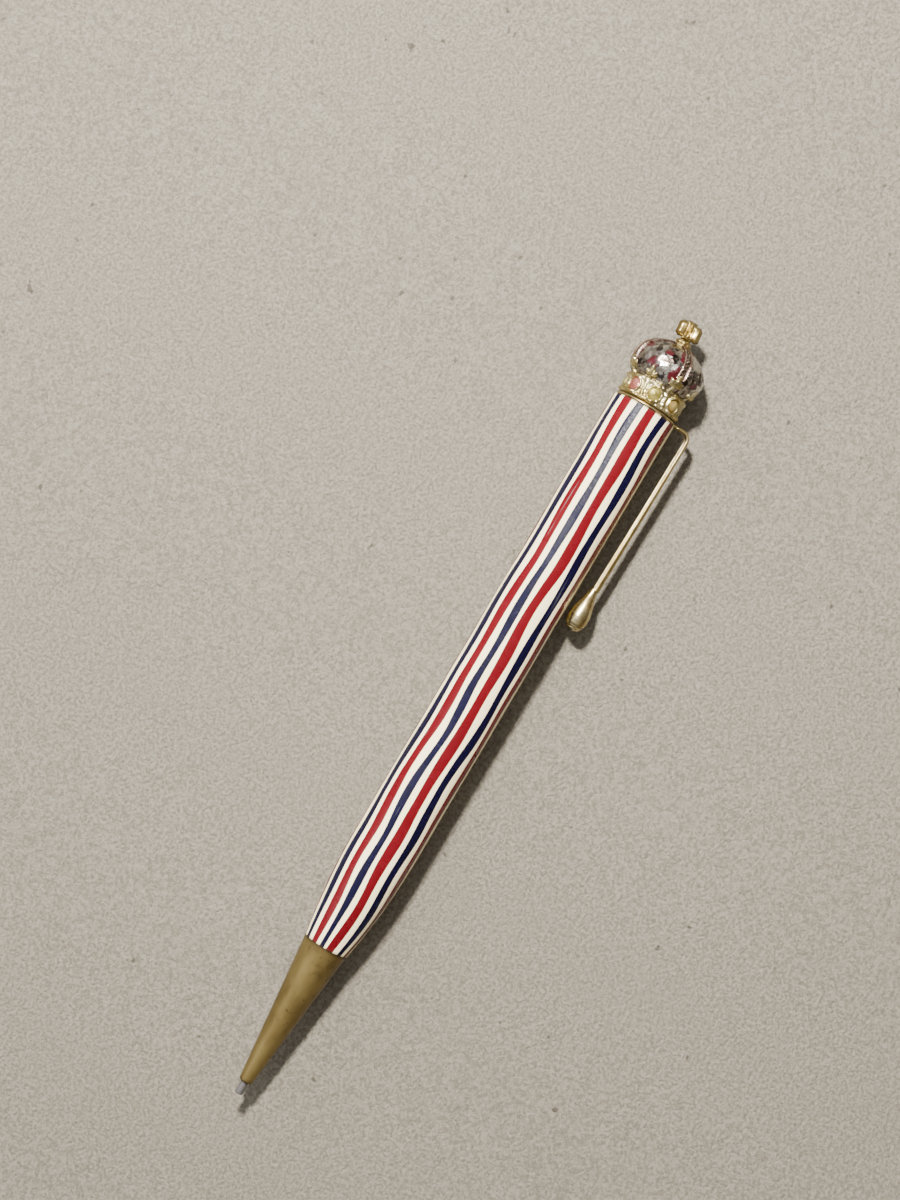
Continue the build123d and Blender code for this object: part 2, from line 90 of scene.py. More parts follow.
def around(x, phi, rho):
    """Points at x, at the angle phi in radians and the distance rho from the axis."""
    x, phi, rho = np.broadcast_arrays(x, phi, rho)
    return np.stack([x, -rho * np.sin(phi), rho * np.cos(phi)], axis=-1)


def dense(profile, step):
    """The same (x, rho) line with points no further apart than step."""
    out = [profile[0]]
    for p, q in zip(profile, profile[1:]):
        n = max(1, math.ceil(math.dist(p, q) / step))
        out += [(p[0] + (q[0] - p[0]) * k / n, p[1] + (q[1] - p[1]) * k / n) for k in range(1, n + 1)]
    return np.array(out)


def rounded(profile, passes=2):
    """Cuts a line's corners, to round it; its ends stay."""
    for _ in range(passes):
        out = [profile[0]]
        for p, q in zip(profile, profile[1:]):
            out.append((0.75 * p[0] + 0.25 * q[0], 0.75 * p[1] + 0.25 * q[1]))
            out.append((0.25 * p[0] + 0.75 * q[0], 0.25 * p[1] + 0.75 * q[1]))
        profile = out + [profile[-1]]
    return profile


def lathe(name, profile, steps=96, closed=False, bump=None, frame_at=None):
    """Turns an (x, rho) line about the axis. bump(x, rho, phi) returns a height to add to rho, and is stored
    as the relief. frame_at maps the turned points to another place."""
    line = np.array(profile)
    phi = np.arange(steps) * 2 * math.pi / steps
    x, angle = np.meshgrid(line[:, 0], phi, indexing="ij")
    rho = np.repeat(line[:, 1:2], steps, axis=1)
    height = bump(x, rho, angle) if bump else np.zeros_like(x)
    points = around(x, angle, rho + height).reshape(-1, 3)
    if frame_at is not None:
        points = frame_at(points)
    faces = grid_faces(len(line), steps, close_rows=closed, close_columns=True)
    return mesh_object(name, points, faces, height)


def wrap(angle):
    """The angle in radians, brought to between minus pi and pi."""
    return (angle + math.pi) % (2 * math.pi) - math.pi


def lump(distance, size):
    """A smooth bump of height 1 and about that radius."""
    return np.exp(-((distance / size) ** 2))


def grain(x, y, z, scale, seed=0.0):
    """Smooth noise at points in millimetres, from -1 to 1."""
    shape = np.shape(x)
    flat = np.stack([np.ravel(x), np.ravel(y), np.ravel(z)], axis=1) / scale + seed
    return np.array([noise.noise(Vector(p)) for p in flat]).reshape(shape)


def to_outline(outline, x, y):
    """Signed distance from points to a closed outline, positive inside."""
    px, py = np.asarray(x), np.asarray(y)
    best = np.full(px.shape, 1e9)
    inside = np.zeros(px.shape, bool)
    for (ax, ay), (bx, by) in zip(outline, outline[1:] + outline[:1]):
        ex, ey = bx - ax, by - ay
        t = np.clip(((px - ax) * ex + (py - ay) * ey) / (ex * ex + ey * ey), 0, 1)
        best = np.minimum(best, np.hypot(px - ax - t * ex, py - ay - t * ey))
        if ey:
            crosses = ((ay > py) != (by > py)) & (px < ex * (py - ay) / ey + ax)
            inside ^= crosses
    return np.where(inside, best, -best)


def ball_points(radius, rows=8, columns=14):
    """Points and faces of a small sphere at the origin."""
    points = [(0, 0, radius)]
    for i in range(1, rows):
        t = math.pi * i / rows
        for j in range(columns):
            u = 2 * math.pi * j / columns
            around_axis = radius * math.sin(t)
            points.append((around_axis * math.cos(u), around_axis * math.sin(u), radius * math.cos(t)))
    points.append((0, 0, -radius))
    faces = [(0, 1 + j, 1 + (j + 1) % columns) for j in range(columns)]
    faces += grid_faces(rows - 1, columns, close_columns=True, start=1)
    last = len(points) - 1
    first = 1 + (rows - 2) * columns
    faces += [(last, first + (j + 1) % columns, first + j) for j in range(columns)]
    return np.array(points), faces


def beads(name, places, radii):
    """One mesh of small spheres at those places."""
    points, faces, count = [], [], 0
    for place, radius in zip(places, radii):
        p, f = ball_points(radius)
        points.append(p + np.array(place))
        faces += [tuple(i + count for i in face) for face in f]
        count += len(p)
    return mesh_object(name, np.concatenate(points), faces)


# ---------------------------------------------------------------- materials


class Shader:
    """A material with a Principled shader, and short ways to add nodes to it."""

    def __init__(self, name, **settings):
        self.material = bpy.data.materials.new(name)
        self.material.use_nodes = True
        self.tree = self.material.node_tree
        self.surface = self.tree.nodes["Principled BSDF"]
        for socket, value in settings.items():
            self.surface.inputs[socket.replace("_", " ")].default_value = value

    def node(self, kind, inputs=(), out=0, **settings):
        node = self.tree.nodes.new("ShaderNode" + kind)
        for key, value in settings.items():
            setattr(node, key, value)
        for key, value in dict(inputs).items():
            self.put(value, node.inputs[key])
        return node.outputs[out]

    def put(self, value, socket):
        if isinstance(value, bpy.types.NodeSocket):
            self.tree.links.new(value, socket)
        else:
            socket.default_value = value

    def set(self, socket, value):
        self.put(value, self.surface.inputs[socket])

    def math(self, operation, a, b=0.0, c=0.0, clamp=False):
        return self.node("Math", {0: a, 1: b, 2: c}, operation=operation, use_clamp=clamp)

    def place(self):
        return self.node("TexCoord", out=3)

    def stretched(self, scale):
        return self.node("Mapping", {"Vector": self.place(), "Scale": scale})

    def noise(self, scale, detail=2.0, roughness=0.5, stretch=None):
        vector = self.stretched(stretch) if stretch else self.place()
        inputs = {"Vector": vector, "Scale": scale, "Detail": detail, "Roughness": roughness}
        return self.node("TexNoise", inputs)

    def ramp(self, value, low, high):
        return self.node("MapRange", {0: value, 1: low, 2: high}, interpolation_type="SMOOTHSTEP")

    def spread(self, value, low, high, out_low, out_high):
        return self.node("MapRange", {0: value, 1: low, 2: high, 3: out_low, 4: out_high})

    def mix(self, factor, a, b, blend="MIX"):
        return self.node("Mix", {0: factor, 6: a, 7: b}, out=2, data_type="RGBA", blend_type=blend)

    def bump(self, height, distance, strength=1.0, under=None):
        inputs = {"Height": height, "Distance": distance, "Strength": strength}
        if under is not None:
            inputs["Normal"] = under
        return self.node("Bump", inputs)

    def relief(self):
        return self.node("Attribute", attribute_name="relief", out=2)


def rgb(red, green, blue, share=0.6):
    """A colour from its screen values, 0 to 255, darkened to suit the scene's strong light."""
    out = [c / 255 for c in (red, green, blue)]
    linear = [c / 12.92 if c < 0.04045 else ((c + 0.055) / 1.055) ** 2.4 for c in out]
    return (*(c * share for c in linear), 1.0)


def striped_lacquer():
    """Cream lacquer with lengthwise stripes whose edges wander, as if drawn by hand."""
    s = Shader(
        "striped_lacquer", Specular_IOR_Level=0.15, Coat_Weight=0.08, Coat_Roughness=0.05, Coat_IOR=1.5
    )
    xyz = s.node("SeparateXYZ", {0: s.place()})
    x, y, z = xyz.node.outputs
    along = s.math("MULTIPLY", x, 1 / MM)
    angle = s.math("MULTIPLY", s.math("ARCTAN2", s.math("MULTIPLY", y, -1.0), z), 180 / math.pi)
    drift = s.math("MULTIPLY", s.ramp(along, -30, -54), -4.0)
    long_wave = s.math("SINE", s.math("MULTIPLY_ADD", along, 2 * math.pi / 29, 4.7))
    short_wave = s.math("SINE", s.math("MULTIPLY_ADD", along, 2 * math.pi / 15, 3.1))
    waver = s.math("MULTIPLY_ADD", long_wave, -1.7, s.math("MULTIPLY", short_wave, -1.2))
    patchy = s.math("SUBTRACT", s.noise(120, 1.0, 0.4, (1.0, 0.35, 0.35)), 0.5)
    waver = s.math("MULTIPLY_ADD", patchy, 3.4, waver)
    fine = s.math("MULTIPLY", s.math("SUBTRACT", s.noise(1500, 2.0, 0.5), 0.5), 0.5)
    moved = s.math("ADD", s.math("ADD", angle, drift), s.math("ADD", waver, fine))
    cream = s.mix(s.noise(90, 3.0, 0.6), rgb(252, 233, 180, 1.0), rgb(255, 243, 200, 1.0))
    stain = s.math("MULTIPLY", s.ramp(s.noise(700, 4.0, 0.65), 0.62, 0.8), 0.25)
    colour = s.mix(stain, cream, rgb(226, 208, 164, 1.0))
    red = s.mix(s.noise(420, 3.0, 0.6), rgb(104, 8, 18), rgb(120, 18, 30))
    navy = s.mix(s.noise(420, 3.0, 0.6), rgb(10, 8, 26), rgb(20, 16, 60))
    # centre, half width, waver, wavelength and phase of each stripe, in degrees and millimetres
    stripes = [
        (-84.5, 6.5, 0.8, 24, 1.1, red),
        (-60.0, 7.4, 0.7, 27, 0.4, navy),
        (-36.0, 7.4, 0.7, 21, 2.3, red),
        (-12.5, 6.0, 0.9, 19, 4.4, navy),
        (10.0, 8.4, 0.9, 20, 1.0, red),
        (36.5, 7.4, 1.7, 18, 3.1, navy),
        (62.0, 8.0, 1.2, 23, 5.2, red),
        (88.5, 7.0, 1.4, 25, 0.9, navy),
        (115.0, 7.8, 1.6, 21, 2.6, red),
        (141.5, 6.4, 1.8, 19, 4.9, navy),
        (168.0, 8.2, 1.4, 24, 1.7, red),
        (194.5, 7.0, 1.6, 22, 3.8, navy),
        (220.5, 7.6, 1.4, 20, 5.7, red),
        (247.0, 6.6, 1.6, 26, 0.2, navy),
    ]
    for centre, half, swing, wave, phase, ink in stripes:
        sway = s.math("SINE", s.math("MULTIPLY_ADD", along, 2 * math.pi / wave, phase))
        slow = s.math("SINE", s.math("MULTIPLY_ADD", along, 2 * math.pi / (wave * 2.7), phase * 1.7))
        away = s.math("ADD", moved, s.math("MULTIPLY_ADD", sway, swing, -centre))
        away = s.math("ADD", away, s.math("MULTIPLY", slow, swing * 0.8))
        away = s.math("ABSOLUTE", s.math("WRAP", away, 180, -180))
        swell = s.math("SINE", s.math("MULTIPLY_ADD", along, 2 * math.pi / (wave * 0.8), phase * 3))
        width = s.math("MULTIPLY_ADD", swell, 0.9, half)
        edge = s.math("SUBTRACT", width, away)
        colour = s.mix(s.ramp(edge, -0.45, 0.45), colour, ink)
    # a few pale hairline scratches along the barrel, and a darker brown over the last few tenths of a
    # millimetre at both ends
    scratch = s.ramp(s.noise(2600, 2.0, 0.5, (0.035, 1.0, 1.0)), 0.70, 0.76)
    worn = s.ramp(s.noise(60, 2.0, 0.5), 0.48, 0.62)
    colour = s.mix(s.math("MULTIPLY", s.math("MULTIPLY", scratch, worn), 0.35), colour, rgb(205, 205, 205))
    back = s.ramp(along, REAR - 0.35, REAR)
    front = s.ramp(along, -53.2, -53.6)
    colour = s.mix(s.math("MULTIPLY", s.math("ADD", back, front, clamp=True), 0.6), colour, rgb(70, 52, 40))
    s.set("Base Color", colour)
    s.set("Roughness", s.spread(s.noise(300, 4.0, 0.6), 0.3, 0.7, 0.2, 0.34))
    ripple = s.bump(s.noise(260, 2.0, 0.5, (0.25, 1.0, 1.0)), 0.00005, 0.5)
    pimples = s.bump(s.noise(2600, 3.0, 0.6), 0.00003, 0.8, ripple)
    s.set("Normal", s.bump(scratch, 0.00001, 0.4, pimples))
    return s.material


def metal(
    name, bright, dull, grime_and_shade, rough=(0.2, 0.4), grain_scale=900, grain_depth=0.00003, relief=None, specks=0.0
):
    """A plated or bare metal with patchy tarnish, specks and a fine grain. With relief, grime and painted
    shade lie in the hollows below relief[0], and the metal is bare and bright above relief[1]."""
    s = Shader(name, Metallic=1.0)
    colour = s.mix(s.ramp(s.noise(240, 4.0, 0.6), 0.38, 0.62), bright, dull)
    if specks:
        dots = s.ramp(s.noise(1900, 3.0, 0.6), 0.66, 0.74)
        colour = s.mix(s.math("MULTIPLY", dots, specks), colour, grime_and_shade)
    roughness = s.spread(s.noise(500, 4.0, 0.6), 0.3, 0.7, *rough)
    if relief:
        # grime and painted shade in the hollows: darker where the relief is low
        low = s.math("SUBTRACT", 1.0, s.ramp(s.relief(), *relief))
        low = s.math("MULTIPLY", low, s.spread(s.noise(1400, 3.0, 0.6), 0.3, 0.65, 0.45, 1.0), clamp=True)
        colour = s.mix(low, colour, grime_and_shade)
        roughness = s.math("MULTIPLY_ADD", low, 0.25, roughness)
    s.set("Base Color", colour)
    s.set("Roughness", roughness)
    s.set("Normal", s.bump(s.noise(grain_scale, 4.0, 0.6), grain_depth, 0.6))
    return s.material


def nose_brass():
    """Bare brass gone olive brown, with turning marks, dark specks and brighter rubbed places."""
    s = Shader("nose_brass", Metallic=0.75, Specular_IOR_Level=0.4)
    patch = s.ramp(s.noise(150, 4.0, 0.6, (0.5, 1.0, 1.0)), 0.35, 0.68)
    colour = s.mix(patch, rgb(150, 130, 78), rgb(118, 98, 54))
    rubbed = s.ramp(s.noise(90, 3.0, 0.6), 0.55, 0.72)
    colour = s.mix(s.math("MULTIPLY", rubbed, 0.5), colour, rgb(170, 150, 96))
    brown = s.ramp(s.noise(210, 4.0, 0.65), 0.54, 0.7)
    colour = s.mix(s.math("MULTIPLY", brown, 0.5), colour, rgb(92, 70, 40))
    dots = s.ramp(s.noise(1100, 3.0, 0.65), 0.64, 0.72)
    colour = s.mix(s.math("MULTIPLY", dots, 0.7), colour, rgb(66, 50, 26))
    xyz = s.node("SeparateXYZ", {0: s.place()})
    along = s.math("MULTIPLY", xyz.node.outputs[0], 1 / MM)
    edge = s.math("ADD", s.ramp(along, -54.2, -53.8), s.ramp(along, -75.7, -76.5), clamp=True)
    colour = s.mix(s.math("MULTIPLY", edge, 0.5), colour, rgb(70, 56, 30))
    s.set("Base Color", colour)
    s.set("Roughness", s.spread(s.noise(600, 4.0, 0.6), 0.3, 0.7, 0.34, 0.5))
    turning = s.noise(2200, 2.0, 0.5, (1.0, 0.03, 0.03))
    s.set("Normal", s.bump(turning, 0.000012, 0.5, s.bump(s.noise(900, 4.0, 0.6), 0.000018, 0.6)))
    return s.material


def graphite():
    """Dark grey lead with a slight sheen, in patches of lighter grey."""
    s = Shader("graphite", Metallic=0.35, Specular_IOR_Level=0.6)
    colour = s.mix(s.noise(1800, 4.0, 0.6), rgb(88, 86, 86), rgb(124, 120, 118))
    s.set("Base Color", colour)
    s.set("Roughness", s.spread(s.noise(1500, 3.0, 0.6), 0.3, 0.7, 0.35, 0.55))
    s.set("Normal", s.bump(s.noise(2600, 3.0, 0.6), 0.00001, 0.6))
    return s.material


def worn_enamel():
    """Silver plate on the cap, with what is left of its dark red enamel."""
    s = Shader("worn_enamel")
    silver = s.mix(s.ramp(s.noise(330, 4.0, 0.6), 0.38, 0.62), rgb(248, 242, 232), rgb(156, 144, 132))
    tarnish = s.math("MULTIPLY", s.ramp(s.noise(440, 4.0, 0.7), 0.53, 0.58), 0.9)
    silver = s.mix(tarnish, silver, rgb(58, 42, 38))
    red = s.mix(s.noise(1200, 3.0, 0.6), rgb(44, 1, 9), rgb(88, 6, 20))
    field = s.math("ADD", s.noise(620, 4.0, 0.6), s.relief())
    left = s.ramp(field, 0.57, 0.60)
    colour = s.mix(left, silver, red)
    # painted shade: a dark line round the edge of each enamel patch
    rim = s.math("SUBTRACT", s.ramp(field, 0.52, 0.56), left, clamp=True)
    colour = s.mix(s.math("MULTIPLY", rim, 0.9), colour, rgb(44, 22, 24))
    s.set("Base Color", colour)
    s.set("Metallic", s.math("SUBTRACT", 1.0, left))
    s.set("Roughness", s.spread(s.noise(700, 3.0, 0.6), 0.3, 0.7, 0.14, 0.34))
    s.set("Normal", s.bump(left, 0.00005, 0.6, s.bump(s.noise(520, 4.0, 0.65), 0.00022, 0.8)))
    return s.material


def stone(name, deep, pale):
    """A gilt boss washed over with colour, darker towards its edge and paler in the middle."""
    s = Shader(name, Coat_Weight=0.15, Coat_Roughness=0.15, Specular_IOR_Level=0.5)
    colour = s.mix(s.ramp(s.noise(700, 3.0, 0.6), 0.35, 0.65), deep, pale)
    s.set("Base Color", s.mix(s.ramp(s.relief(), 0.2, 0.95), deep, colour))
    s.set("Metallic", 0.6)
    s.set("Roughness", s.spread(s.noise(900, 3.0, 0.6), 0.3, 0.7, 0.28, 0.45))
    s.set("Normal", s.bump(s.noise(1000, 3.0, 0.6), 0.00006, 0.7))
    return s.material


def table_top():
    """Matt off-white board with a fine, uneven grain."""
    s = Shader("table_top", Roughness=0.85, Specular_IOR_Level=0.2)
    cloud = s.noise(14, 4.0, 0.6)
    colour = s.mix(cloud, rgb(205, 196, 178), rgb(218, 210, 192))
    fleck = s.noise(2000, 5.0, 0.8)
    colour = s.mix(s.ramp(fleck, 0.40, 0.60), colour, rgb(168, 159, 142))
    pits = s.ramp(s.noise(420, 2.0, 0.5), 0.72, 0.78)
    colour = s.mix(s.math("MULTIPLY", pits, 0.7), colour, rgb(96, 86, 74))
    s.set("Base Color", colour)
    coarse = s.bump(s.noise(700, 4.0, 0.65), 0.0010, 0.8)
    s.set("Normal", s.bump(s.noise(2000, 5.0, 0.8), 0.0009, 1.0, coarse))
    return s.material


LACQUER = striped_lacquer()
BRASS_NOSE = nose_brass()
GRAPHITE = graphite()
BRASS = metal("turned_brass", rgb(206, 176, 110), rgb(176, 146, 84), rgb(90, 68, 34), specks=0.3)
STEEL = metal("drawn_steel", rgb(170, 168, 166), rgb(128, 126, 124), rgb(60, 56, 52), specks=0.3)
CLIP_GILT = metal(
    "clip_gilt", rgb(238, 218, 166), rgb(204, 180, 120), rgb(100, 74, 36), rough=(0.24, 0.42),
    grain_depth=0.00001, specks=0.5,
)
BALL_GILT = metal(
    "ball_gilt", rgb(244, 230, 180), rgb(206, 180, 116), rgb(78, 54, 24), rough=(0.18, 0.36),
    grain_scale=700, relief=(-0.06, -0.015), specks=0.8,
)
CROWN_GILT = metal(
    "crown_gilt", rgb(255, 242, 190), rgb(216, 194, 122), rgb(84, 60, 30), rough=(0.2, 0.42),
    grain_scale=1100, grain_depth=0.00005, relief=(-0.10, 0.06), specks=0.4,
)
FINIAL_GILT = metal(
    "finial_gilt", rgb(238, 216, 150), rgb(184, 158, 94), rgb(84, 60, 30), rough=(0.2, 0.42),
    grain_scale=1100, grain_depth=0.00005, relief=(-0.16, 0.02), specks=0.4,
)
# its hollows take the dark red enamel left between the arch's raised rails
ARCH_METAL = metal(
    "arch_silver_gilt", rgb(238, 216, 198), rgb(192, 156, 136), rgb(48, 3, 9), rough=(0.18, 0.34),
    grain_scale=1100, grain_depth=0.00004, relief=(0.02, 0.12), specks=0.5,
)
PEARL = metal(
    "pearl_silver", rgb(232, 222, 208), rgb(196, 178, 156), rgb(110, 84, 66), rough=(0.12, 0.26), specks=0.2
)
CAP_FINISH = worn_enamel()
ROSE = stone("rose_stone", rgb(168, 92, 80), rgb(226, 164, 146))
CITRINE = stone("citrine_stone", rgb(140, 128, 54), rgb(214, 200, 116))
AMBER = stone("amber_stone", rgb(168, 132, 50), rgb(236, 210, 126))


def paint(obj, material):
    """Gives an object that one material."""
    obj.data.materials.clear()
    obj.data.materials.append(material)
    return obj


def stands_for(obj, body, material, slot, *nodes):
    """Finishes a new piece: what it rides on, its material, and the CAD nodes it stands for."""
    paint(obj, material)
    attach(obj, body)
    if nodes:
        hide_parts(*nodes)


SLOT_MATERIAL = {
    "striped_barrel": LACQUER,
    "nose_brass": BRASS_NOSE,
    "mechanism_brass": BRASS,
    "mechanism_steel": STEEL,
    "graphite": GRAPHITE,
    "clip_gilt": CLIP_GILT,
    "crown_gilt": CROWN_GILT,
    "cap_enamel": CAP_FINISH,
    "rose_glass": ROSE,
    "citrine_glass": CITRINE,
    "amber_glass": AMBER,
}
slots = {row["node"]: row["material_slot"] for row in frame["record"]["subparts"]}
for node_name, node in frame["nodes"].items():
    paint(node, SLOT_MATERIAL[slots[node_name]])


# ---------------------------------------------------------------- clip

STRIP_THICK, STRIP_WIDE = 0.42, 1.8
TAB_TOP, TAB_DEPTH = 5.63, 0.5  # where the ring's fixed tab ends and the sprung arm begins
BEND_R, BEND_DEPTH = 1.6, 0.58
ARM_TOP, ARM_END = 8.15, 10.7
BALL_RHO = 7.27
RADIAL = -math.pi / 2  # the strip's way out from the ring


def clip_place(x, rho, side):
    """Points in the clip's own plane: along the pencil, out from its axis, and sideways."""
    out = np.array([0, -math.sin(CLIP_PHI), math.cos(CLIP_PHI)])
    sideways = np.cross(out, [1, 0, 0])
    return np.outer(x, [1, 0, 0]) + np.outer(rho, out) + np.outer(side, sideways)


def clip_ring_profile():
    """The washer's section, with rounded edges."""
    inner, outer = 3.05, 4.75
    front, back = REAR + 0.02, RING - 0.02
    return dense(rounded([(front, inner), (front, outer), (back, outer), (back, inner)]), 0.3)


def strip(name, stations):
    """A half-round channel swept along stations of (x, rho, direction, depth, width): direction is the way
    the strip runs, as an angle in the clip's plane, and depth is how deep the channel is."""
    arcs = 15
    inner = 0.7 * STRIP_THICK
    points = []
    for x, rho, way, depth, wide in stations:
        normal = (-math.sin(way), math.cos(way))
        section = []
        for k in range(arcs):
            t = math.pi * k / (arcs - 1)
            side = -math.cos(t) * wide / 2
            drop = -depth * (1 - math.sin(t) ** 0.7)
            section.append((side, drop))
        for k in range(arcs):
            t = math.pi * (1 - k / (arcs - 1))
            side = -math.cos(t) * (wide / 2 - inner * 0.6)
            drop = -inner - max(0.0, depth - inner) * (1 - math.sin(t) ** 0.7)
            section.append((side, drop))
        for side, drop in section:
            points.append((x + normal[0] * drop, rho + normal[1] * drop, side))
    points = np.array(points)
    placed = clip_place(points[:, 0], points[:, 1], points[:, 2])
    faces = grid_faces(len(stations), 2 * arcs, close_columns=True)
    faces.append(tuple(range(2 * arcs)))
    faces.append(tuple(reversed(range((len(stations) - 1) * 2 * arcs, len(stations) * 2 * arcs))))
    return mesh_object(name, placed, faces)


washer = lathe("clip_ring_washer", clip_ring_profile(), 128, closed=True)
tab_line = [(RING, 4.5 + 0.21 * k, RADIAL, TAB_DEPTH, STRIP_WIDE) for k in range(6)]
tab = strip("clip_ring_tab", tab_line)
bend_x, bend_rho = RING - BEND_R, ARM_TOP - BEND_R
stations = []
for k in range(7):  # the root, out from the ring
    stations.append((RING, TAB_TOP + (bend_rho - TAB_TOP) * k / 6, RADIAL, TAB_DEPTH, STRIP_WIDE))
for k in range(1, 21):  # the shoulder
    t = math.pi / 2 * k / 20
    x, rho = bend_x + BEND_R * math.cos(t), bend_rho + BEND_R * math.sin(t)
    stations.append((x, rho, t + RADIAL, TAB_DEPTH + (BEND_DEPTH - TAB_DEPTH) * k / 20, STRIP_WIDE))
for k in range(1, 61):  # the arm, down into the ball's neck
    t = k / 60
    x = bend_x + (ARM_END - 0.45 - bend_x) * t
    stations.append((x, ARM_TOP - 0.12 * t * t, 0.0, BEND_DEPTH + 0.36 * t, STRIP_WIDE - 0.35 * t))
arm = strip("clip_arm_channel", stations)

# the ball's outline, from its tip to its neck
tear = [
    (3.72, 0.0), (3.74, 0.28), (3.84, 0.64), (4.0, 0.95), (4.10, 1.06), (4.16, 1.02), (4.22, 1.14),
    (4.45, 1.34), (4.85, 1.50), (5.4, 1.60), (6.0, 1.60), (6.8, 1.50), (7.6, 1.32), (8.4, 1.09),
    (9.2, 0.85), (9.9, 0.69), (10.4, 0.60), (10.7, 0.56), (10.75, 0.4), (10.75, 0.0),
]


def tear_dent(x, rho, phi):
    """Slight dents and an uneven rim on the pressed ball."""
    dents = 0.05 * grain(x, 2 * np.cos(phi), 2 * np.sin(phi), 1.5, 3.0) * np.minimum(rho, 1)
    seam = 0.10 * lump(x - 4.62, 0.07) * (rho > 1.0) * np.clip(0.5 + 0.8 * np.sin(phi + 0.6), 0, 1)
    return dents - seam


def to_ball(points):
    """Moves what was turned about the pencil's axis to the ball's own axis."""
    out = np.array([0, -math.sin(CLIP_PHI), math.cos(CLIP_PHI)])
    return points + out * BALL_RHO


tear_ball = lathe("clip_teardrop", dense(tear, 0.16), 72, bump=tear_dent, frame_at=to_ball)


# ---------------------------------------------------------------- crown


def dome_rho(x, grow=0.0):
    """The cap's radius at x, or that of a surface outside it."""
    t = np.clip((x - DOME_X) / (DOME_A + grow), -1, 1)
    return (DOME_B + grow) * np.sqrt(np.maximum(0, 1 - t * t))


def lower_rho(x):
    """The cap's radius where it curves in below its widest place, down to the band."""
    t = np.clip((x - BAND_TOP) / (DOME_X - BAND_TOP), 0, 1)
    return 4.3 + (DOME_B - 4.3) * np.sin(t * math.pi / 2) ** 0.8


def cap_rho(x):
    """The cap's radius at any x."""
    return np.where(x < DOME_X, lower_rho(x), dome_rho(x))


cap_line = [(37.45, 1.91), (37.45, 3.88), (BAND_TOP, 3.88)]
cap_line += [(float(x), float(lower_rho(x))) for x in np.linspace(BAND_TOP, DOME_X, 42)]
for k in range(1, 71):
    t = math.pi / 2 * k / 70
    cap_line.append((DOME_X + DOME_A * math.sin(t), DOME_B * math.cos(t)))


def cap_relief(x, rho, phi):
    """Soft dents in the casting. The relief is also where more enamel is left."""
    y, z = rho * np.cos(phi), rho * np.sin(phi)
    dents = 0.16 * grain(x, y, z, 1.3, 7.0) + 0.05 * grain(x, y, z, 0.6, 2.0)
    return dents * np.clip(rho / 2, 0, 1) * (x > BAND_TOP)


cap = lathe("crown_cap_dome", cap_line, 240, bump=cap_relief)
# where the enamel has stayed: its distance along the pencil, its angle and its radius
ENAMEL = [
    (45.3, -13, 0.95), (42.4, -27, 1.0), (42.2, 8, 0.9), (45.6, 12, 0.6), (44.6, -52, 0.6),
    (44.8, 70, 1.0), (42.4, 50, 0.8), (45.5, 150, 0.8), (42.8, 165, 1.1), (43.5, 120, 0.7),
    (44.6, -110, 1.0), (42.5, -92, 0.8), (45.4, -160, 0.7), (42.9, -145, 1.0),
]
enamel_bias = []
for vertex in cap.data.vertices:
    co = vertex.co / MM
    phi, rho = math.atan2(-co.y, co.z), math.hypot(co.y, co.z)
    offset = (math.degrees(phi) - ARCH_PHI + 45) % 90 - 45  # from the nearest arch
    bias = -0.13 + 0.20 * math.exp(-(((abs(offset) - 11) / 3) ** 2))
    for at, turn, size in ENAMEL:
        gap = math.hypot(co.x - at, wrap(phi - math.radians(turn)) * rho)
        bias += 0.30 * math.exp(-((gap / size) ** 4))
    enamel_bias.append(bias)
cap.data.attributes["relief"].data.foreach_set("value", np.array(enamel_bias, np.float32))

band_corners = [
    (37.15, 4.3), (37.15, 4.62), (37.5, 4.76), (37.68, 4.5), (37.85, 4.42), (39.5, 4.44), (39.7, 4.48),
    (39.85, 4.64), (40.2, 4.72), (40.36, 4.4),
]
band_line = dense([(37.15, 3.9)] + rounded(band_corners) + [(40.36, 3.9)], 0.07)

# the pearls between two bezels: distance along the pencil, offset round it, and size
BAND_BEADS = [(37.98, 0.1, 0.3), (38.45, -0.08, 0.24), (38.95, 0.08, 0.26), (39.45, -0.1, 0.3)]


def band_relief(x, rho, phi):
    """The band's ornament: beaded rims, a bezel round each boss, pearls between, and a rough casting."""
    outer = (rho > 4.2).astype(float)
    height = 0.05 * lump(x - 40.05, 0.22) * np.cos(phi * 40)
    height += 0.03 * lump(x - 37.4, 0.2) * np.cos(phi * 60)
    for k in range(8):
        there = math.radians(JEWEL_PHI + 45 * k)
        gap = np.hypot(x - JEWEL_X, wrap(phi - there) * 4.7)
        height += 0.34 * lump(gap - 1.1, 0.2) - 0.1 * (gap < 1.0)
        between = wrap(phi - there - math.radians(22.5)) * 4.7
        for bead_x, side, size in BAND_BEADS:
            height += 0.26 * lump(np.hypot(x - bead_x, between - side), size)
    y, z = rho * np.cos(phi), rho * np.sin(phi)
    rough = 0.08 * grain(x, y, z, 0.36, 1.0) + 0.07 * grain(x, y, z, 0.8, 5.0)
    return (height + rough) * outer


band = lathe("crown_band", band_line, 480, closed=True, bump=band_relief)

# outlines of the band's upright ornaments: up from its rim, and sideways
CROSS = [
    (-0.35, -0.8), (0.3, -0.36), (0.52, -0.34), (0.55, -1.15), (1.6, -1.2), (1.62, -0.34), (1.8, -0.36),
    (2.35, -0.75), (2.35, 0.75), (1.8, 0.36), (1.62, 0.34), (1.6, 1.2), (0.55, 1.15), (0.52, 0.34),
    (0.3, 0.36), (-0.35, 0.8),
]
FLEUR = [
    (-0.35, -0.45), (0.35, -0.28), (0.3, -0.75), (0.62, -1.12), (1.1, -0.98), (1.15, -0.62),
    (0.95, -0.42), (1.5, -0.42), (2.15, 0.0), (1.5, 0.42), (0.95, 0.42), (1.15, 0.62), (1.1, 0.98),
    (0.62, 1.12), (0.3, 0.75), (0.35, 0.28), (-0.35, 0.45),
]


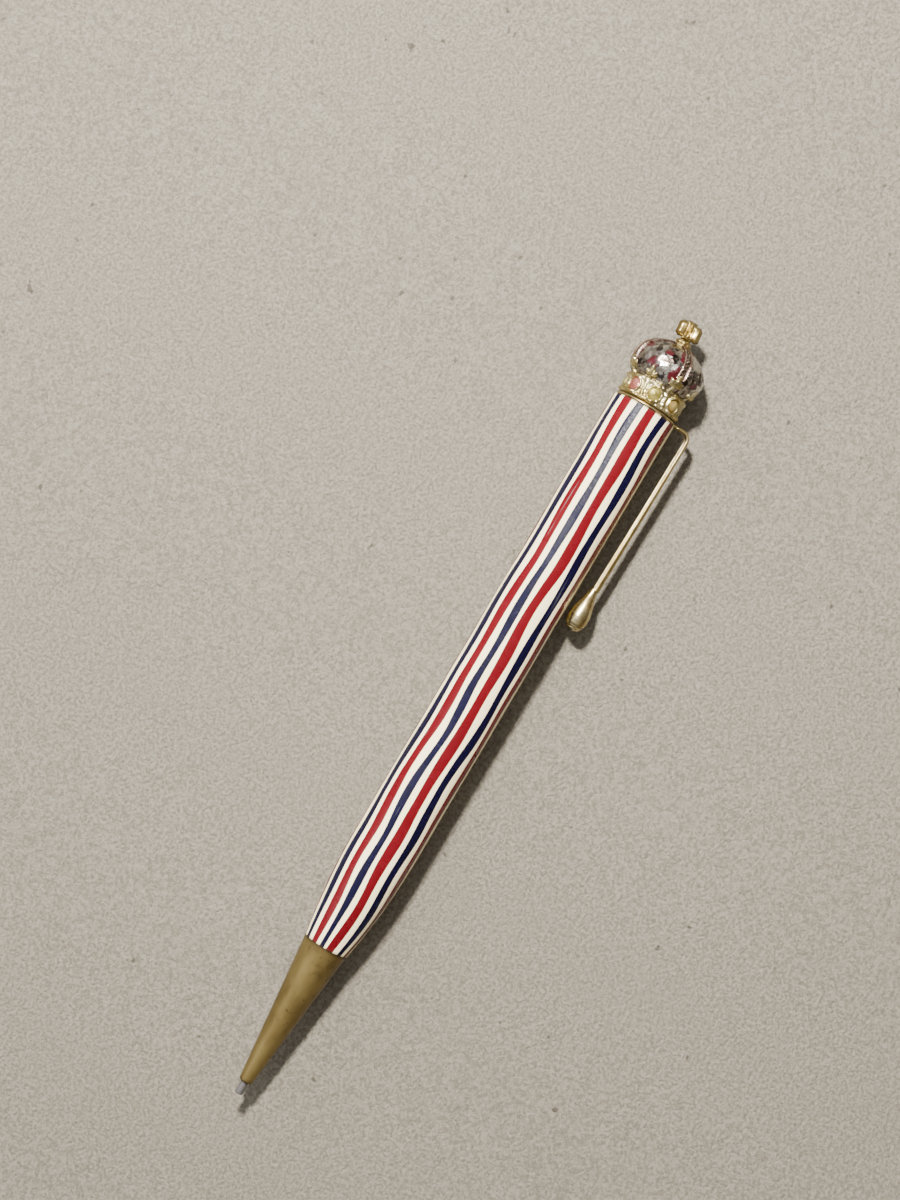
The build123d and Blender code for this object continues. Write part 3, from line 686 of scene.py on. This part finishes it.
def ornament(outline, phi_degrees, seed):
    """A relief ornament lying on the cap's lower slope: points, faces and heights."""
    cells = 44
    u, v = np.meshgrid(np.linspace(-0.5, 2.5, cells), np.linspace(-1.4, 1.4, cells), indexing="ij")
    depth = to_outline(outline, u, v)
    height = 0.40 * np.clip(depth / 0.3, -1, 1)
    height = np.where(depth > 0, 0.40 * np.sin(np.clip(depth / 0.34, 0, 1) * math.pi / 2), height)
    x = BAND_TOP + 0.05 + u
    base = cap_rho(x)
    phi = math.radians(phi_degrees) + v / 5.3
    rough = 0.08 * grain(x, base * np.cos(phi), base * np.sin(phi), 0.4, seed)
    points = around(x, phi, base - 0.08 + height + rough)
    return points.reshape(-1, 3), grid_faces(cells, cells), height.ravel()


def ornaments(name, outline, first):
    """Four of an ornament, a quarter turn apart, as one mesh."""
    points, faces, heights, count = [], [], [], 0
    for k in range(4):
        p, f, h = ornament(outline, first + 90 * k, 10.0 + 7 * k)
        points.append(p)
        faces += [tuple(i + count for i in face) for face in f]
        heights.append(h)
        count += len(p)
    return mesh_object(name, np.concatenate(points), faces, np.concatenate(heights))


crosses = ornaments("crown_crosses", CROSS, ARCH_PHI)
fleurs = ornaments("crown_fleurs", FLEUR, ARCH_PHI + 45)


def meridian(t, grow):
    """(x, rho) on the dome at t radians from its widest place, on a surface that is grow outside it."""
    return DOME_X + (DOME_A + grow) * math.sin(t), (DOME_B + grow) * math.cos(t)


def arch_mesh():
    """The four half-arches: each a band with two raised edges and a sunk middle, narrower towards the top."""
    rows, columns = 70, 21
    points, faces, heights, count = [], [], [], 0
    for k in range(4):
        phi = math.radians(ARCH_PHI + 90 * k)
        for i in range(rows):
            t = -0.32 + (math.pi / 2 - 0.10 + 0.32) * i / (rows - 1)
            wide = 0.85 - 0.25 * max(0.0, t) / (math.pi / 2)
            for j in range(columns):
                v = -1 + 2 * j / (columns - 1)
                rail = math.exp(-(((abs(v) - 0.72) / 0.2) ** 2))
                height = 0.22 * rail + 0.04
                if abs(v) > 0.9:
                    height = 0.04 - (abs(v) - 0.9) * 2.5
                height += (0.04 * math.cos(i * 2 * math.pi / 4.4) + 0.03 * math.sin(i * 1.7 + 3 * v)) * rail
                if t < 0:
                    x = DOME_X + 2.4 * t
                    rho = float(lower_rho(x)) + height
                else:
                    x, rho = meridian(t, height)
                side = v * wide
                turn = phi + math.atan2(side, max(rho, 0.2))
                points.append(around(x, turn, math.hypot(rho, side)))
                heights.append(height - 0.1)
        faces += grid_faces(rows, columns, start=count)
        count += rows * columns
    return mesh_object("crown_arch_bands", np.array(points).reshape(-1, 3), faces, heights)


arches = arch_mesh()
places, radii = [], []
for k in range(4):
    phi = math.radians(ARCH_PHI + 90 * k)
    for i in range(9):
        t = -0.12 + 0.158 * i
        size = 0.25 - 0.008 * i
        if t < 0:
            x, rho = DOME_X + 2.4 * t, float(lower_rho(DOME_X + 2.4 * t)) + 0.08
        else:
            x, rho = meridian(t, 0.08)
        places.append(around(x, phi, rho))
        radii.append(size)
arch_pearls = beads("crown_arch_pearls", places, radii)


def stone_mesh(name, steps):
    """Low domed stones in the numbered bezels, as one mesh."""
    points, faces, heights, count = [], [], [], 0
    for k in steps:
        phi = math.radians(JEWEL_PHI + 45 * k)
        out = np.array([0, -math.sin(phi), math.cos(phi)])
        side = np.cross(out, [1, 0, 0])
        rows, columns = 14, 32
        for i in range(rows):
            t = math.pi / 2 * i / (rows - 1)
            for j in range(columns):
                u = 2 * math.pi * j / columns
                r = 0.96 * math.cos(t)
                h = 4.42 + 0.36 * math.sin(t) + 0.10 * math.exp(-((r / 0.28) ** 2))
                rim = r * (math.cos(u) * np.array([1, 0, 0]) + math.sin(u) * side)
                points.append(np.array([JEWEL_X, 0, 0]) + out * h + rim)
                heights.append(math.sin(t))
        faces += grid_faces(rows, columns, close_columns=True, start=count)
        count += rows * columns
    return mesh_object(name, points, faces, heights)


rose = stone_mesh("crown_rose_stones", (3, 7))
citrine = stone_mesh("crown_citrine_stones", (0, 2, 4, 6))
amber = stone_mesh("crown_amber_stones", (1, 5))

knop = [
    (46.9, 0.0), (46.9, 1.1), (47.1, 1.3), (47.28, 1.05), (47.4, 1.15), (47.62, 1.28), (47.85, 1.12),
    (48.05, 0.9), (48.14, 0.0),
]


def knop_relief(x, rho, phi):
    """Slight lobes round the orb."""
    lobes = 0.05 * np.cos(8 * phi) * lump(x - 47.6, 0.3)
    return lobes + 0.04 * grain(x, rho * np.cos(phi), rho * np.sin(phi), 0.5, 2.0)


# the finial's outline, about its middle
FINIAL = [
    (-1.49, -0.75), (-1.1, -0.8), (-1.2, -1.35), (-0.9, -1.85), (0.8, -1.85), (1.2, -1.4), (1.22, -0.8),
    (1.49, -0.7), (1.49, 0.7), (1.22, 0.8), (1.2, 1.4), (0.8, 1.85), (-0.9, 1.85), (-1.2, 1.35),
    (-1.1, 0.8), (-1.49, 0.75),
]
FINIAL_X = 49.51


def lean(points):
    """The finial stands a little askew, towards +Y."""
    points = np.array(points, float)
    points[:, 1] += 0.09 * np.clip(points[:, 0] - 47.6, 0, None)
    return points


def finial_mesh():
    """The cross: two faces that rise from the outline to a ridge along each arm."""
    rows, columns = 64, 84
    up, across = np.linspace(-1.49, 1.49, rows), np.linspace(-1.86, 1.86, columns)
    u, v = np.meshgrid(up, across, indexing="ij")
    depth = to_outline(FINIAL, u, v)
    ridge = 0.30 * lump(v, 0.16) - 0.16 * lump(abs(v) - 0.45, 0.16)
    ridge += 0.10 * grain(u, v, 0 * u, 0.9, 4.0)
    height = 0.26 + 0.46 * np.sin(np.clip(depth / 0.6, 0, 1) * math.pi / 2) + ridge
    height = np.where(depth > -0.02, height, np.nan)
    index = -np.ones(u.shape, int)
    keep = np.argwhere(~np.isnan(height))
    for n, (i, j) in enumerate(keep):
        index[i, j] = n
    total = len(keep)
    turn = math.radians(JEWEL_PHI)
    out = np.array([0, -math.sin(turn), math.cos(turn)])
    side = np.cross(out, [1, 0, 0])
    points, heights = [], []
    for sign in (1, -1):
        for i, j in keep:
            heights.append(height[i, j] - 0.47)
            points.append(np.array([FINIAL_X + u[i, j], 0, 0]) + out * height[i, j] * sign - side * v[i, j])
    faces = []
    edges = {}
    for i in range(rows - 1):
        for j in range(columns - 1):
            quad = [index[i, j], index[i, j + 1], index[i + 1, j + 1], index[i + 1, j]]
            if min(quad) < 0:
                continue
            faces.append(tuple(quad))
            faces.append(tuple(n + total for n in reversed(quad)))
            for a, b in zip(quad, quad[1:] + quad[:1]):
                edges[(a, b)] = edges.get((a, b), 0) + 1
    for a, b in edges:
        if (b, a) not in edges:
            faces.append((b, a, a + total, b + total))
    return mesh_object("crown_finial_cross", lean(points), faces, heights)


finial = finial_mesh()
orb = lathe("crown_orb_knop", dense(rounded(knop), 0.1), 64, bump=knop_relief, frame_at=lean)

stands_for(washer, "barrel", CLIP_GILT, "clip_gilt", "clip_ring")
stands_for(tab, "barrel", CLIP_GILT, "clip_gilt")
stands_for(arm, "clip", CLIP_GILT, "clip_gilt", "clip_arm")
stands_for(tear_ball, "clip", BALL_GILT, "clip_gilt", "clip_ball")
stands_for(cap, "crown", CAP_FINISH, "cap_enamel", "crown_cap")
stands_for(band, "crown", CROWN_GILT, "crown_gilt", "crown_circlet")
stands_for(crosses, "crown", CROWN_GILT, "crown_gilt")
stands_for(fleurs, "crown", CROWN_GILT, "crown_gilt")
stands_for(arches, "crown", ARCH_METAL, "crown_gilt", "crown_arches")
stands_for(arch_pearls, "crown", PEARL, "crown_gilt")
stands_for(rose, "crown", ROSE, "rose_glass", "rose_stones")
stands_for(citrine, "crown", CITRINE, "citrine_glass", "citrine_stones")
stands_for(amber, "crown", AMBER, "amber_glass", "amber_stones")
stands_for(orb, "crown", CROWN_GILT, "crown_gilt", "crown_orb")
stands_for(finial, "crown", FINIAL_GILT, "crown_gilt", "crown_cross")


# ---------------------------------------------------------------- floor, light and camera

# The pencil lies on the barrel's front shoulder and on the crown, so it leans a little against the floor
SHOULDER_X, SHOULDER_Z = -36.5, -5.0
CROWN_X, CROWN_Z = 43.0, -5.78
FLOOR_REACH = 3000.0
slope = (CROWN_Z - SHOULDER_Z) / (CROWN_X - SHOULDER_X)
corners = [(FLOOR_REACH * a, FLOOR_REACH * b) for a, b in ((-1, -1), (1, -1), (1, 1), (-1, 1))]
floor_points = [(x, y, SHOULDER_Z + slope * (x - SHOULDER_X)) for x, y in corners]
floor = mesh_object("floor", floor_points, [(0, 1, 2, 3)])
paint(floor, table_top())


def area_light(name, direction, distance, size, watts, colour=(1, 1, 1)):
    """A soft light that shines on the pencil from that direction."""
    data = bpy.data.lights.new(name, "AREA")
    data.shape = "DISK"
    data.size = size
    data.energy = watts
    data.color = colour
    lamp = bpy.data.objects.new(name, data)
    way = Vector(direction).normalized()
    lamp.location = way * distance
    lamp.rotation_euler = way.to_track_quat("Z", "Y").to_euler()
    bpy.context.scene.collection.objects.link(lamp)


area_light("key_light", (0.45, 0.42, 1.0), 0.36, 0.042, 6.2, (1.0, 0.965, 0.90))
area_light("fill_light", (-0.3, 1.0, 0.9), 1.2, 0.6, 2.6, (0.93, 0.96, 1.0))

# The room is bright over the pencil's clear side and dim beyond its clip
world = bpy.data.worlds.new("studio")
bpy.context.scene.world = world
world.use_nodes = True
sky = world.node_tree
towards = sky.nodes.new("ShaderNodeVectorMath")
towards.operation = "DOT_PRODUCT"
sky.links.new(sky.nodes.new("ShaderNodeTexCoord").outputs["Generated"], towards.inputs[0])
towards.inputs[1].default_value = (0.2, 0.6, 0.77)
level = sky.nodes.new("ShaderNodeMapRange")
level.inputs["From Min"].default_value = -1.0
sky.links.new(towards.outputs["Value"], level.inputs["Value"])
shade = sky.nodes.new("ShaderNodeValToRGB")
shade.color_ramp.elements[0].position = 0.35
shade.color_ramp.elements[0].color = (0.082, 0.063, 0.044, 1)
shade.color_ramp.elements[1].position = 1.0
shade.color_ramp.elements[1].color = (0.62, 0.63, 0.65, 1)
middle = shade.color_ramp.elements.new(0.8)
middle.color = (0.258, 0.245, 0.226, 1)
sky.links.new(level.outputs["Result"], shade.inputs[0])
sky.links.new(shade.outputs[0], sky.nodes["Background"].inputs["Color"])
sky.nodes["Background"].inputs["Strength"].default_value = 2.3

camera_data = bpy.data.cameras.new("camera")
camera_data.lens = 70.5
camera_data.sensor_width = 36.0
camera_data.clip_start = 0.01
camera = bpy.data.objects.new("camera", camera_data)
camera.location = (-1.5 * MM, 10.1 * MM, 340 * MM)
camera.rotation_euler = (0, 0, math.radians(-59.28))
bpy.context.scene.collection.objects.link(camera)
bpy.context.scene.camera = camera
